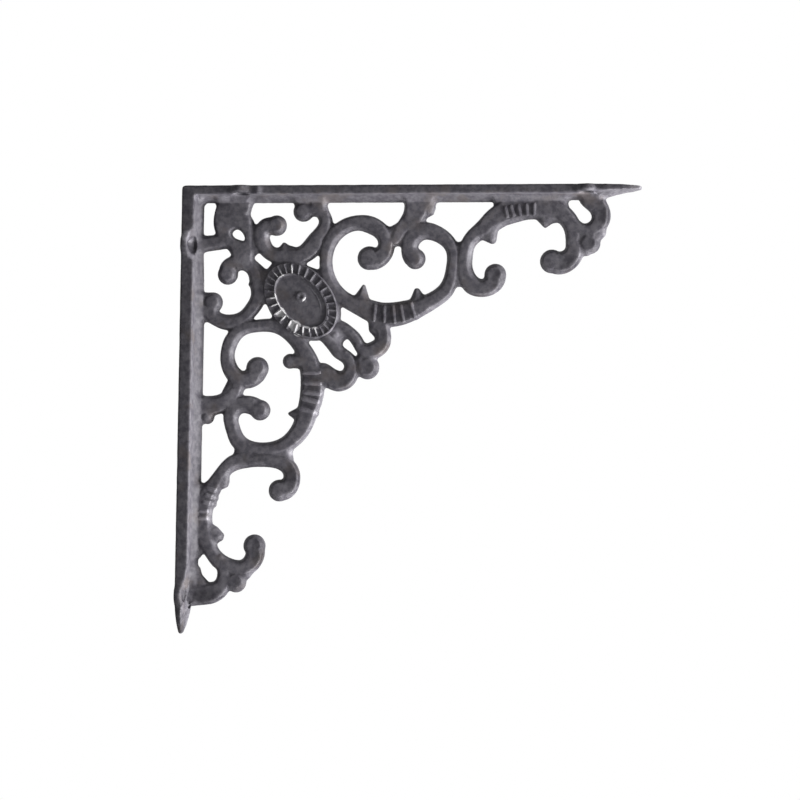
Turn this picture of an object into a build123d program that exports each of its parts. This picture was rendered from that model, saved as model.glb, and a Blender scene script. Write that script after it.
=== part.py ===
from build123d import *
import os
from math import cos, pi, sin

os.makedirs("parts", exist_ok=True)

# Ornate shelf bracket, cast in one piece of grey iron. Millimetres.
# The origin is the outer corner: the wall lies behind X = 0 and the shelf on Z = 0.
# X runs out under the shelf, Z up, and the web stands on the mid-plane Y = 0.

# Arms, outer corner to tip
SHELF_ARM = 204.0
WALL_ARM = 197.0

# Mounting plates, thinner towards their pointed tips
PLATE_WIDTH = 21.0
WALL_PLATE = 5.8
WALL_PLATE_TIP = 1.6
SHELF_PLATE = 4.0
SHELF_PLATE_TIP = 1.8
TAPER_LENGTH = 30.0
TIP_LENGTH = 16.0
TIP_WIDTH = 3.0

# Rail that the web stands on, along the middle of each plate. Its height over the plate
# is RAIL_HEIGHT, and less at the corner of the wall plate and towards both tips.
RAIL_HEIGHT = 3.0
RAIL_CORNER_HEIGHT = 2.1
RAIL_END_HEIGHT = 2.0
RAIL_ROOT = 0.5

# Screw holes: two on each arm, beside the web, in ears on the plate's edge. The plate is
# scooped away around them, thinnest at the ear's rim. The near holes are set from the
# corner and the far ones from the tips.
SCREW_HOLE = 4.5
SCREW_HEAD = 8.0
SCREW_OFFSET = 7.0
SCREW_NEAR = 26.0
SHELF_SCREW_TIP = 23.0
WALL_SCREW_TIP = 16.0
EAR_RADIUS = 5.6
SCOOP_RADIUS = 7.4
SEAT_DEPTH = 4.0
SCOOP_RIM = 2.8
SCOOP_LEAN = 21.0

# Scrollwork
WEB = 6.0
BALL_PROUD = 0.9
CROWN_FOOT = 0.88
CROWN_TOP = 0.5
CROWN_SIDES = 10
RIB_WIDTH = 1.6
RIB_PROUD = 0.7

# Medallion
MEDAL_LONG = 18.8
MEDAL_SHORT = 13.3
MEDAL_PROUD = 1.6
FIELD_LONG = 14.6
FIELD_SHORT = 9.2
FIELD_SINK = 1.0
KNOB_RADIUS = 2.3
KNOB_SHIFT = 1.2
FLUTES = 28
COLLAR = 0.8
FLUTE_DROP = 1.1
RIM_DROP = 0.4
MEDAL_OUT = 53.0
MEDAL_DROP = 50.5
MEDAL_LEAN = 45.0

# The scrolls are drawn for arms of this size, and spread or close up with the arms
PATTERN_SHELF = 204.0
PATTERN_WALL = 197.0


def at(x, drop):
    """Point of the pattern: x out from the wall, drop below the shelf."""
    return Vector(x * SHELF_ARM / PATTERN_SHELF, 0, -drop * WALL_ARM / PATTERN_WALL)


def polygon(corners):
    """Flat face through its corners."""
    return Face(Wire.make_polygon(corners))


def facing(outline):
    """The same face of the mid-plane, turned to look along -Y."""
    return outline if outline.normal_at().Y < 0 else -outline


def scroll(*stations):
    """Outline of a strand through (x, drop, half-width) stations, on the mid-plane."""
    centres = [at(x, drop) for x, drop, _ in stations]
    line = Edge.make_spline(centres)
    left, right = [], []
    for centre, (_, _, half) in zip(centres, stations):
        run = line.tangent_at(centre)
        across = Vector(-run.Z, 0, run.X).normalized() * half
        left.append(centre + across)
        right.insert(0, centre - across)
    outline = [
        Edge.make_spline(left),
        Edge.make_line(left[-1], right[0]),
        Edge.make_spline(right),
        Edge.make_line(right[-1], left[0]),
    ]
    return facing(Face(Wire(outline)))


def thorn(tip, base_a, base_b):
    """Outline of a small leaf point that stands off the edge of a scroll."""
    return facing(polygon([at(*tip), at(*base_a), at(*base_b)]))


def crotch(*corners):
    """Outline of the iron that fills the narrow corner where two strands part."""
    return facing(polygon([at(*corner) for corner in corners]))


def disc(x, drop, radius):
    """Round outline of the ball that ends a scroll."""
    return facing(Face(Wire([Edge.make_circle(radius, Plane(at(x, drop), z_dir=(0, -1, 0)))])))


def ring(radius, y):
    """Corners of a level ring of facets about the Y axis."""
    turns = [2 * pi * side / CROWN_SIDES for side in range(CROWN_SIDES)]
    return [Vector(radius * cos(turn), y, radius * sin(turn)) for turn in turns]


def crown(x, drop, radius):
    """Crowned relief of a ball on both faces of the web, in one piece through it."""
    top = WEB / 2 + BALL_PROUD
    sizes = (CROWN_TOP, -top), (CROWN_FOOT, -WEB / 2), (CROWN_FOOT, WEB / 2), (CROWN_TOP, top)
    rings = [ring(radius * share, y) for share, y in sizes]
    faces = [polygon(rings[0]), polygon(rings[-1])]
    for low, high in zip(rings, rings[1:]):
        faces += [polygon((low[n - 1], low[n], high[n], high[n - 1])) for n in range(CROWN_SIDES)]
    return Solid(Shell(faces)).moved(Location(at(x, drop)))


def bars(half, *places):
    """Raised bars across a thick scroll, each at (x, drop) and leaning so many degrees."""
    bar = Box(RIB_WIDTH, WEB + 2 * RIB_PROUD, 2 * half)
    return [bar.rotate(Axis.Y, lean).moved(Location(at(x, drop))) for x, drop, lean in places]


def upper_heart():
    """Heart under the shelf plate, with its stem and two balls inside."""
    outlines = [
        scroll(
            (83.5, 32.4, 3.9), (87.4, 31, 4), (90.2, 26.8, 3.4), (89.3, 21.8, 3.2), (83.4, 17, 3.5),
            (77.8, 15.9, 3.1), (68.9, 19.3, 3), (63.8, 28, 2.6), (64.3, 39.4, 2.7),
            (67.3, 45.4, 3), (74.2, 50.9, 3.1), (80, 53.2, 3.9), (88.1, 56.2, 4.9),
            (97, 55.9, 4.9), (109.1, 51.5, 3.6), (117.6, 45.2, 3.2), (120.3, 35.9, 2.7),
            (119.3, 26.3, 2.7), (115.6, 22.4, 3), (109.9, 19.8, 3.4),
            (105.2, 20, 3.7), (100.8, 27.1, 3.4), (102.2, 31.2, 3.9),
        ),
        scroll((105.8, 3, 7.4), (104.2, 8, 5.9), (102, 13.9, 4.6), (98.2, 18.3, 3.6), (94.7, 23.6, 2.7)),
        disc(109.4, 9.4, 2.4),
        scroll((122.8, 24.8, 0.8), (122.9, 35, 1.6), (123, 44, 0.8)),
        thorn((80.6, 43), (75.6, 50), (83.8, 53)),
        crotch((103.7, 45.2), (104.9, 45.1), (108.2, 49.5), (108, 52), (100.4, 53)),
        crotch((92.6, 22), (98.6, 22), (96.6, 26), (94.8, 26)),
        crotch((105, 8), (111.4, 12), (108.8, 13.1), (106.8, 15)),
        crotch((87.6, 15.8), (91.7, 18.2), (96, 15.8), (94, 21), (90, 21)),
        crotch((64.5, 14), (66.5, 16.9), (70, 16.9), (66, 21)),
        crotch((82, 57), (83.1, 59.8), (83.5, 63.6), (86.6, 66.8), (88, 57)),
    ]
    balls = [(82.7, 31.5, 4.9), (103.4, 31.9, 4.2)]
    ribs = bars(
        4.3, (86, 55.6, 4), (90.3, 56.2, -1), (94.6, 56.5, -7), (98.3, 56.1, -11), (103, 54.4, -17)
    )
    return outlines, balls, ribs


def lower_heart():
    """Heart beside the wall plate, with its stem, knob and two balls inside."""
    outlines = [
        scroll(
            (33.6, 80.8, 3.9), (31, 84.1, 3.8), (26.4, 84.9, 3.5), (20.7, 79.5, 3.1), (19.7, 73.3, 2.8),
            (21, 68.5, 2.9), (24.6, 63.8, 2.6), (33.4, 61.2, 2.4), (41.5, 61.5, 2.7),
            (47.9, 65.4, 2.7), (53.8, 72, 3.4), (57.3, 80.8, 4.5), (58.2, 89.6, 5),
            (56.5, 98.2, 4.4), (52.6, 107.9, 3.8), (45.5, 114.1, 3.1), (37, 115.6, 2.5),
            (30.7, 114.8, 2.5), (26.2, 113, 3.1), (22.5, 105.9, 2.9), (21.8, 101.5, 3.1),
            (25, 96.7, 3.3), (29.1, 96, 3.6), (34.9, 98.5, 3.2),
        ),
        scroll((3.5, 98, 5.5), (9.4, 96.9, 4.4), (17.9, 95.3, 3.8), (22.7, 91.4, 3.1), (25.5, 86, 2.7)),
        disc(11.2, 101.6, 2.7),
        scroll((23.8, 117, 1), (35, 118, 1.6), (47, 118.4, 2)),
        scroll((48, 76.9, 2.7), (54, 77.2, 2.7)),
        thorn((47.5, 100), (55, 96), (53, 104)),
        crotch((45, 113), (51, 112.2), (49.4, 117.4), (50, 120.4), (46, 121)),
        crotch((19.5, 82.5), (21, 84.2), (17.8, 90.6), (25, 90)),
    ]
    balls = [(33.3, 80, 4.7), (34.9, 98.5, 4.2), (48, 76.9, 3)]
    ribs = bars(
        4.3, (58.2, 82.2, 90), (58.7, 86.9, 94), (58.5, 91.2, 98), (58, 94.4, 103), (56.8, 99.1, 106)
    )
    return outlines, balls, ribs


def corner_scrolls():
    """Two C scrolls that hold the medallion, and the trunk from the corner between them."""
    trunk = scroll(
        (22.2, 3, 7.6), (21.9, 7.5, 7.5), (20.8, 12.5, 7.9),
        (22.1, 18, 8.5), (25, 26, 5.6), (26.6, 34, 4.4),
    )
    eye = [
        Edge.make_spline([at(26.8, 24.4), at(26.5, 21), at(23.3, 18.3), at(20.3, 20.3)]),
        Edge.make_spline([at(20.3, 20.3), at(21.2, 22.1), at(24.4, 23.7), at(26.8, 24.4)]),
    ]
    outlines = [
        trunk.cut(Face(Wire(eye))).face(),
        scroll((19, 23.6, 3.1), (8.2, 25, 3.3), (3.5, 25.3, 3.8)),
        scroll(
            (40.8, 17, 3.2), (34.5, 19.2, 3.1), (34.6, 24, 3.1), (37.8, 28.9, 2.9),
            (45, 30.5, 3.6), (53, 29.7, 3.7), (56.9, 26.5, 4), (59.6, 22.4, 3.5),
            (62.9, 15.2, 2.7), (60.4, 9.8, 3.1), (59, 3, 4.4),
        ),
        scroll(
            (19.2, 38.5, 3.2), (19.9, 35.3, 3.6), (23, 33.6, 3.2), (29, 35, 2.6), (32.7, 43, 3.1),
            (33.2, 48.2, 3.1), (30.2, 54, 2.9), (26.6, 57.5, 2.7), (20.8, 59.7, 3.1),
            (15.9, 58.8, 2.9), (10, 55.6, 3.1), (3.5, 54.6, 3.6),
        ),
        scroll((52.8, 10, 2.6), (60, 10.2, 2.6)),
        scroll((12.4, 50.9, 2.6), (12.4, 57.5, 2.6)),
        collar(),
        crotch((44.2, 24.5), (46.4, 26), (49.4, 26.8), (49, 30), (40.8, 29)),
        thorn((28.6, 43), (32.5, 40), (32.5, 46)),
        crotch((28, 22), (34.5, 24), (34.8, 27.6), (33, 28.2), (30.4, 31), (28, 31)),
        crotch((28, 30), (30.4, 31), (30.8, 32), (36.7, 37.1), (33, 40), (28, 34)),
        crotch((55, 35.2), (60.8, 37.2), (63, 36.8), (61, 40)),
        crotch((7, 46.8), (13, 46.8), (13, 51), (7, 51)),
        crotch((36.4, 37.3), (39.9, 33.3), (45, 34), (42, 44), (34, 45), (33, 38)),
    ]
    balls = [(40.8, 17, 4.2), (52.8, 10.8, 4.2), (19.2, 38.5, 4.2), (12.6, 50.9, 4.2)]
    return outlines, balls, []


def tendrils():
    """Two S scrolls below the medallion that meet at a ball and tie the hearts to it."""
    outlines = [
        scroll(
            (62.5, 64.6, 2.8), (67.7, 70.3, 2.7), (70.4, 73.3, 2.7), (74.3, 76.2, 2.7), (75.5, 80.8, 3.1),
            (73.7, 84.4, 3.8), (69.7, 85.7, 4.2), (66.1, 84.4, 4.2), (60.5, 83, 4),
        ),
        scroll(
            (66, 61.2, 2.8), (75, 64.8, 2.3), (78, 68.2, 2.3), (80.2, 71.4, 2.6), (83, 72.4, 3.2),
            (86.5, 71.6, 3.6), (89.2, 68.9, 3.3), (89.5, 65, 3.1), (86.8, 59, 4),
        ),
        scroll((79.4, 76.6, 1.8), (82.8, 79.7, 3.4)),
        disc(68.6, 65.6, 2.6),
        crotch((71.3, 69), (71.4, 68), (73.5, 66.6), (72, 63), (67, 66), (69, 70)),
        crotch((78.9, 75.9), (78.4, 72.8), (82, 72), (82, 78)),
    ]
    return outlines, [(82.8, 79.7, 4.9)], []


def shelf_end():
    """C scroll and closing leaf towards the tip of the shelf plate."""
    outlines = [
        scroll(
            (139.9, 39.6, 3.8), (138.2, 42.9, 3.9), (134, 44.8, 3.6), (128.6, 43, 3.8), (125.8, 35.9, 2.9),
            (125.8, 30.6, 2.9), (127, 25.3, 2.9), (129.2, 22.2, 3.1), (133.6, 18.7, 3.6),
            (137.6, 15.2, 4.3), (141.9, 12.5, 4.9), (147.8, 10.2, 5.4),
            (152.5, 9.6, 4.9), (159.5, 9.6, 4.8),
            (167.7, 11.6, 3.9), (173.2, 17.8, 3.5), (174.2, 25, 3.3), (174.2, 29.3, 3.9),
            (171, 33, 4.5), (166.4, 33.8, 4.6),
        ),
        scroll(
            (174.5, 17.5, 2.8), (182.3, 19.2, 3.2), (185.8, 15.6, 3.7),
            (185.8, 11.2, 3.9), (183, 6.8, 4.7), (182.2, 3, 4.9),
        ),
        scroll((182, 19, 2.8), (181.3, 25.3, 3)),
        crotch((130.5, 22), (137.7, 25.2), (139.1, 24.6), (139.8, 19.3), (144, 16.9), (138.4, 13)),
        crotch((156.5, 12), (157.6, 14.5), (161.2, 18.3), (164.3, 16.1), (167, 15.8), (167, 12)),
        crotch((164, 6), (170.6, 6), (171.6, 10.3), (167, 12)),
        crotch((176, 28), (178.9, 30.6), (181, 30.4), (181, 26)),
        crotch((184, 18), (188.4, 17.6), (188, 21.6), (185.2, 24.5), (182, 22)),
    ]
    balls = [(139.3, 39, 4.5), (164.5, 33.2, 4.9), (181.3, 25.3, 4.4)]
    ribs = bars(
        3.9, (144.2, 10.9, -14), (146.9, 10.6, -18), (150, 10, -12), (153.4, 9.6, -5), (156.7, 9.4, 0)
    )
    return outlines, balls, ribs


def wall_end():
    """C scroll and closing leaf towards the tip of the wall plate."""
    outlines = [
        scroll(
            (45, 134.2, 3.9), (48.4, 132.1, 3.8), (49.7, 128.4, 3.4), (48.3, 124, 3.2), (40.7, 120.9, 2.6),
            (33.1, 120.5, 2.7), (25.5, 121, 3.3), (21, 123.3, 3), (17.9, 127, 2.9),
            (14.8, 131.7, 3.3), (11.6, 138.1, 3.6), (10.4, 145, 3.4), (10.7, 149.1, 3.3),
            (12.1, 156.2, 3.5), (14.4, 161.2, 3), (17.7, 165, 3.2), (23.5, 167.6, 3.1),
            (29.8, 167.6, 3.5), (33.3, 163.7, 3.8), (33.5, 158.4, 3.6),
        ),
        scroll(
            (18, 164.5, 2.8), (20, 172, 2.9), (18.7, 176.4, 3.6),
            (14.8, 178.8, 4.4), (8, 179.8, 4.4), (2.5, 180.2, 5),
        ),
        scroll((19.5, 173.5, 2.8), (25.4, 174.2, 3)),
        crotch((20, 123), (21.2, 127.3), (21.4, 130), (20.7, 132), (18.6, 133), (15.5, 131)),
        crotch(
            (11, 148.6), (13.8, 148.8), (16.5, 150.3), (19.4, 153.4),
            (18.8, 155.6), (15.5, 157.3), (12, 158)
        ),
        crotch((8, 131), (10.3, 131.1), (12, 129.8), (13, 134), (8, 136)),
        crotch((28, 169), (33.5, 169), (31.2, 172.1), (29.5, 173.5), (27, 172)),
        crotch((6.5, 154), (13.5, 155), (11, 159.5), (8.7, 163.5), (6.5, 164)),
        crotch((6.5, 167), (8.7, 167.5), (9.8, 171.3), (12.2, 173.8), (14, 178), (6.5, 178)),
    ]
    balls = [(44.2, 133.9, 4.5), (33.4, 158.2, 4.6), (25.4, 174.2, 4.3)]
    ribs = bars(
        3.1, (14.3, 133.7, 106), (13.5, 136.7, 107), (12.6, 139.6, 101),
        (10.7, 143.2, 92), (10.5, 146.3, 90)
    )
    return outlines, balls, ribs


def collar():
    """Web-level oval that ties the scrolls around the medallion together."""
    flat = Plane((0, 0, 0), x_dir=(1, 0, 0), z_dir=(0, -1, 0))
    oval = Edge.make_ellipse(MEDAL_LONG + COLLAR, MEDAL_SHORT + COLLAR, flat)
    centre = Location(at(MEDAL_OUT, MEDAL_DROP))
    return facing(Face(Wire([oval]))).rotate(Axis.Y, MEDAL_LEAN).moved(centre)


def medallion():
    """Oval boss on the diagonal: a pleated border, a sunk field and a centre knob."""
    crest = WEB / 2 + MEDAL_PROUD
    steps = 2 * FLUTES
    turns = [2 * pi * step / steps for step in range(steps)]

    def oval(long, short, rises, side):
        places = zip(turns, rises)
        return [Vector(long * cos(turn), side * rise, short * sin(turn)) for turn, rise in places]

    ridges = [crest - FLUTE_DROP * (step % 2) - RIM_DROP for step in range(steps)]
    level = [crest] * steps
    floor = [crest - FIELD_SINK] * steps
    faces = []
    rims = {}
    for side in (-1, 1):
        rims[side] = oval(MEDAL_LONG, MEDAL_SHORT, ridges, side)
        lip = oval(FIELD_LONG, FIELD_SHORT, level, side)
        field = oval(FIELD_LONG, FIELD_SHORT, floor, side)
        for step in range(steps):
            after = (step + 1) % steps
            outer, inner = rims[side], lip
            split = (outer[step], outer[after], inner[step]), (outer[after], inner[after], inner[step])
            faces += [polygon(corners) for corners in split]
            faces.append(polygon((lip[step], lip[after], field[after], field[step])))
        faces.append(polygon(field))
    for step in range(steps):
        after = (step + 1) % steps
        faces.append(polygon((rims[-1][step], rims[-1][after], rims[1][after], rims[1][step])))
    boss = Solid(Shell(faces))
    knob = crown(0, 0, KNOB_RADIUS).moved(Location((-KNOB_SHIFT, 0, KNOB_SHIFT)))
    return boss.fuse(knob).rotate(Axis.Y, MEDAL_LEAN).moved(Location(at(MEDAL_OUT, MEDAL_DROP)))


def slab(arm, thick, thin, screw_tip):
    """Mounting plate under Z = 0 along X, with ears at the screws and a pointed tip."""
    half = PLATE_WIDTH / 2
    shoulder = arm - TIP_LENGTH
    point = TIP_WIDTH / 2
    plan = Face(Wire([
        Edge.make_line((0, half), (0, -half)),
        Edge.make_line((0, -half), (shoulder, -half)),
        Edge.make_tangent_arc((shoulder, -half), (1, 0, 0), (arm, -point)),
        Edge.make_line((arm, -point), (arm, point)),
        Edge.make_tangent_arc((shoulder, half), (1, 0, 0), (arm, point)),
        Edge.make_line((shoulder, half), (0, half)),
    ]))
    side_view = Plane.XZ * Polyline(
        (0, 0), (arm, 0), (arm, -thin), (arm - TAPER_LENGTH, -thick), (0, -thick), close=True
    )
    plate = extrude(plan, -thick, dir=(0, 0, 1)) & extrude(make_face(side_view), PLATE_WIDTH, both=True)
    down = (Align.CENTER, Align.CENTER, Align.MAX)
    up = (Align.CENTER, Align.CENTER, Align.MIN)
    deep = 2 * thick
    sink = (SCREW_HEAD - SCREW_HOLE) / 2
    for along in (SCREW_NEAR, arm - screw_tip):
        spot = Pos(along, -SCREW_OFFSET, 0)
        slope = spot * Pos(0, -EAR_RADIUS, -SCOOP_RIM) * Rot(X=-SCOOP_LEAN)
        scoop = slope * Box(2 * SCOOP_RADIUS, 4 * SCOOP_RADIUS, deep, align=down)
        plate += spot * Cylinder(EAR_RADIUS, thick, align=down)
        plate -= scoop & (spot * Cylinder(SCOOP_RADIUS, deep, align=down))
        seat = spot * Pos(0, 0, -SEAT_DEPTH)
        plate -= seat * Cylinder(SCREW_HEAD / 2, deep, align=down)
        plate -= seat * Cone(SCREW_HEAD / 2, SCREW_HOLE / 2, sink, align=up)
        plate -= spot * Cylinder(SCREW_HOLE / 2, thick, align=down)
    return plate


def rail(pattern, arm, plate, heights):
    """Corners of the low rib under a plate: along X, with its depth below the plate's face."""
    places = [(along * arm / pattern, plate + height) for along, height in heights]
    return [(places[-1][0], RAIL_ROOT), (RAIL_ROOT, RAIL_ROOT)] + places


def upright(wire):
    """Wall of ruled faces that carries an outline of the mid-plane across the web."""
    ends = [wire.moved(Location((0, side * WEB / 2, 0))) for side in (-1, 1)]
    return Solid.make_loft(ends, ruled=True)


def bracket():
    """The whole casting as one solid."""
    outlines, reliefs = [], [medallion()]
    for group in (upper_heart, lower_heart, corner_scrolls, tendrils, shelf_end, wall_end):
        strands, balls, ribs = group()
        outlines += strands + [disc(*size) for size in balls]
        reliefs += [crown(*size) for size in balls] + ribs
    shelf_rail = rail(PATTERN_SHELF, SHELF_ARM, SHELF_PLATE, [
        (RAIL_ROOT, RAIL_HEIGHT), (140, RAIL_HEIGHT), (186, RAIL_END_HEIGHT), (201, -2),
    ])
    wall_rail = rail(PATTERN_WALL, WALL_ARM, WALL_PLATE, [
        (RAIL_ROOT, RAIL_CORNER_HEIGHT), (26, RAIL_CORNER_HEIGHT), (52, RAIL_HEIGHT),
        (133, RAIL_HEIGHT), (179, RAIL_END_HEIGHT), (191, -4),
    ])
    outlines.append(facing(polygon([Vector(along, 0, -deep) for along, deep in shelf_rail])))
    outlines.append(facing(polygon([Vector(deep, 0, -along) for along, deep in wall_rail])))
    flat = outlines[0].fuse(*outlines[1:]).face()
    web = upright(flat.outer_wire())
    web = web.cut(*[upright(hole) for hole in flat.inner_wires()])
    shelf = slab(SHELF_ARM, SHELF_PLATE, SHELF_PLATE_TIP, SHELF_SCREW_TIP)
    wall_slab = slab(WALL_ARM, WALL_PLATE, WALL_PLATE_TIP, WALL_SCREW_TIP)
    wall = mirror(wall_slab, Plane.XY).rotate(Axis.Y, 90)
    return shelf.fuse(wall, web, *reliefs)


if __name__ == "__main__":
    iron = bracket()
    export_step(iron, "parts/bracket.step")
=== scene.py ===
from math import cos, exp, hypot, pi, radians, sin, sqrt

import bmesh
import bpy
from mathutils import Matrix, Vector, kdtree, noise


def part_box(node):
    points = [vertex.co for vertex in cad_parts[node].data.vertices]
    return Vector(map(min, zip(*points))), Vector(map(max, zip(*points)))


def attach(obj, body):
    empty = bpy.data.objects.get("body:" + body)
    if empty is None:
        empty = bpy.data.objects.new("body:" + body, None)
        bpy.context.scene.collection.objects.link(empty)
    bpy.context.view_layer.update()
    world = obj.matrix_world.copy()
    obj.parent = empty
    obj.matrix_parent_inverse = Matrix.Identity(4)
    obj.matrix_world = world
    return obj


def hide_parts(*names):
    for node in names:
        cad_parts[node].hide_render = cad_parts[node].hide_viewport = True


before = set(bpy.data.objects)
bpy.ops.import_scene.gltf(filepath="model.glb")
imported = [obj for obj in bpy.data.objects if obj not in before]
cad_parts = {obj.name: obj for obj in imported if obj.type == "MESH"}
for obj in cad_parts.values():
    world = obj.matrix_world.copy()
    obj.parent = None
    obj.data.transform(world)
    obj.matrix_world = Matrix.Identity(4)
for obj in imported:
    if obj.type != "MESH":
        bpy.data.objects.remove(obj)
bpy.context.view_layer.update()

# Metres, in the part's own frame: the wall is behind X = 0, the shelf on Z = 0,
# and the web stands on the mid-plane Y = 0.
MM = 0.001
IRON_NODE = "bracket"
low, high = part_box(IRON_NODE)
SHELF_ARM = high.x
WALL_ARM = -low.z

# Section of the casting
HALF_WEB = 3.0 * MM
SHELF_PLATE = 4.0 * MM
SHELF_PLATE_TIP = 1.8 * MM
WALL_PLATE = 5.8 * MM
WALL_PLATE_TIP = 1.6 * MM
TAPER_LENGTH = 30.0 * MM
CORNER_ROUND = 1.9 * MM

# The even mesh that the relief is carved in: its step, the fillet in its inner corners, how far
# it strays from a flat face, and the share of its triangles that is kept in the end
VOXEL = 0.42 * MM
FILLET = 0.65 * MM
WELD = 0.001 * MM
FACE_NOISE = 0.3 * MM
CASTING_SHARE = 0.32

# Outline of the web, cut just off the mid-plane so that it goes through faces, not points
OUTLINE_CUT = 0.013 * MM
OUTLINE_STEP = 0.2 * MM
OUTLINE_MARGIN = 0.3 * MM

# Rails: half thickness of the foot, how far it pushes the plate's face aside and how deep, the
# rail height that gives it full width, and where it narrows beside an ear, in scoop radii
RAIL_FOOT = 5.4 * MM
RAIL_FOOT_AT_EAR = 3.6 * MM
FOOT_SPREAD = 8.0 * MM
FOOT_DEPTH = 0.8 * MM
FOOT_RISE = 2.0 * MM
EAR_START = 0.7
EAR_RUN = 0.6

# Where a rail runs out, the mesh stays as it is below these heights of the rail and of the place
HELD_RAIL = 2.5 * MM
HELD_OVER = 2.0 * MM

# Strands: thin edge, rounding, height of the metal between them, bevels, crown and balls
EDGE_LAND = 0.8 * MM
EDGE_ROUND = 0.9 * MM
FILL_ROUND = 2.8 * MM
FILL_SHARE = 0.82
BEVEL_INNER = 1.5 * MM
BEVEL_OUTER = 0.45 * MM
BEVEL_BALL = 1.5 * MM
BEVEL_BEND = 1.35
BEND_RADIUS = 14.0 * MM
BEND_SPAN = 6
BEND_LIMIT = 0.6
CROWN_SHARE = 0.1
BALL_SHARE = 1.04
BALL_OVERLAP = 1.3 * MM
STRAND_STEP = 0.4 * MM
SIDE_SWELL = 0.42 * MM
SWELL_CLEAR = 1.0 * MM
TINY = 1e-12

# Cast skin: depth and size of its grain and of its slow swells
SKIN_GRAIN = 0.075 * MM
GRAIN_SIZE = 1.1 * MM
SKIN_SWELL = 0.12 * MM
SWELL_SIZE = 7.0 * MM

# Free edge of each rail: (along, height over the thick part of its plate) stations, in mm
SHELF_RAIL = ((0, 3), (140, 3), (186, 2), (201, -2), (210, -2))
WALL_RAIL = ((0, 2.1), (26, 2.1), (52, 3), (133, 3), (179, 2), (191, -4), (200, -4))

# Ears with their scooped screw seats, on the -Y side
SCREW_NEAR = 26.0 * MM
SHELF_SCREW_TIP = 23.0 * MM
WALL_SCREW_TIP = 16.0 * MM
SCOOP_RADIUS = 7.4 * MM

# Medallion, and its field with a bead and a short raised line. Heights are in mm, and shares
# are of the way from its centre to the field's edge.
MEDAL_CENTRE = Vector((53.0 * MM, 0, -50.5 * MM))
MEDAL_LEAN = radians(45)
MEDAL_LONG = 18.8 * MM
MEDAL_SHORT = 13.3 * MM
MEDAL_SOCKET = 2.9 * MM
SOCKET_REACH = 1.02
FIELD_LONG = 14.6 * MM
FIELD_SHORT = 9.2 * MM
FIELD_EDGE = 3.4
FIELD_DOME = 0.35
FIELD_RINGS = (
    0.6, 0.65, 0.69, 0.71, 0.725, 0.74, 0.755, 0.77, 0.8, 0.84, 0.88, 0.9, 0.92,
    0.935, 0.95, 0.965, 0.98, 1.0,
)
BEAD_SHARE = 0.975
BEAD_HEIGHT = 0.85
BEAD_WIDTH = 0.036
SCORE_SHARE = 0.74
SCORE_HEIGHT = 0.3
SCORE_WIDTH = 0.025
SCORE_TURN = radians(62)
SCORE_SPAN = 0.55

# Its knob, off the centre and dimpled, in mm, and the rings that lead from it to the field
KNOB_RADIUS = 2.4
KNOB_SHIFT = 1.2
KNOB_HEIGHT = 0.85
DIMPLE_RADIUS = 0.95
DIMPLE_DEPTH = 0.6
KNOB_RINGS = (0.35, 0.7, 1.05, 1.4, 1.7, 1.95, 2.15, 2.3, 2.4, 2.6, 3.0)
BLEND_STEPS = 5
BLEND_SHARE = 0.56

# Its flutes between an inner bead and an outer rim, both highest towards the lower right, and
# the skirt that slopes away outside them. Heights are in mm.
FLUTES = 28
STEPS_PER_FLUTE = 14
FLUTE_STEPS = 25
FLUTE_FLOOR = 3.3
RIDGE_TOP = 4.4
RIDGE_DROP = 0.45
RIDGE_WIDTH = 0.33
FACING_DOWN = 0.45
INNER_BEAD_LOW = 0.45
INNER_BEAD_RISE = 0.45
INNER_BEAD_WIDTH = 0.1
INNER_BEAD_FACING = 0.5
RIM_HEIGHT = 0.6
RIM_START = 0.78
RIM_RUN = 0.16
RIM_FACING = 0.4
MEDAL_SKIRT = 0.18
SKIRT_STEPS = 4
SKIRT_TOP = 3.9
SKIRT_DROP = 2.6
SKIRT_BEND = 1.6

# Places on the -Y side where the black finish is worn to bare iron: (x, drop, reach, share) in
# mm. The share is 1 where it is gone from what stands proud, and more where hollows are bare too.
WORN = (
    (41.1, 49, 2.1, 0.9), (41.9, 52.6, 2.2, 0.9), (44.2, 55.8, 2.6, 4.5), (43.2, 56.4, 2.2, 0.9),
    (46.1, 58.7, 2.2, 1.0), (50.6, 61.6, 2.9, 4.5), (49.4, 62.3, 2.2, 0.9),
    (51.9, 64.2, 2.4, 1.0), (55.5, 63.4, 2.3, 1.0), (59.7, 63.7, 1.9, 0.7),
    (49.1, 36.7, 2.0, 1.0), (42.6, 38.9, 2.1, 0.55), (44.3, 39.4, 1.5, 0.5), (39, 42.2, 1.9, 0.4),
    (39.1, 45, 1.9, 0.45), (55.1, 50.3, 1.6, 0.5),
)

# Share of the wear that hollows get, and the heights over the mid-plane where it sets in
HOLLOW_WEAR = 0.15
WEAR_RISE = 0.45 * MM
MEDAL_WEAR = 3.62 * MM
IRON_WEAR = 1.0 * MM

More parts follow.
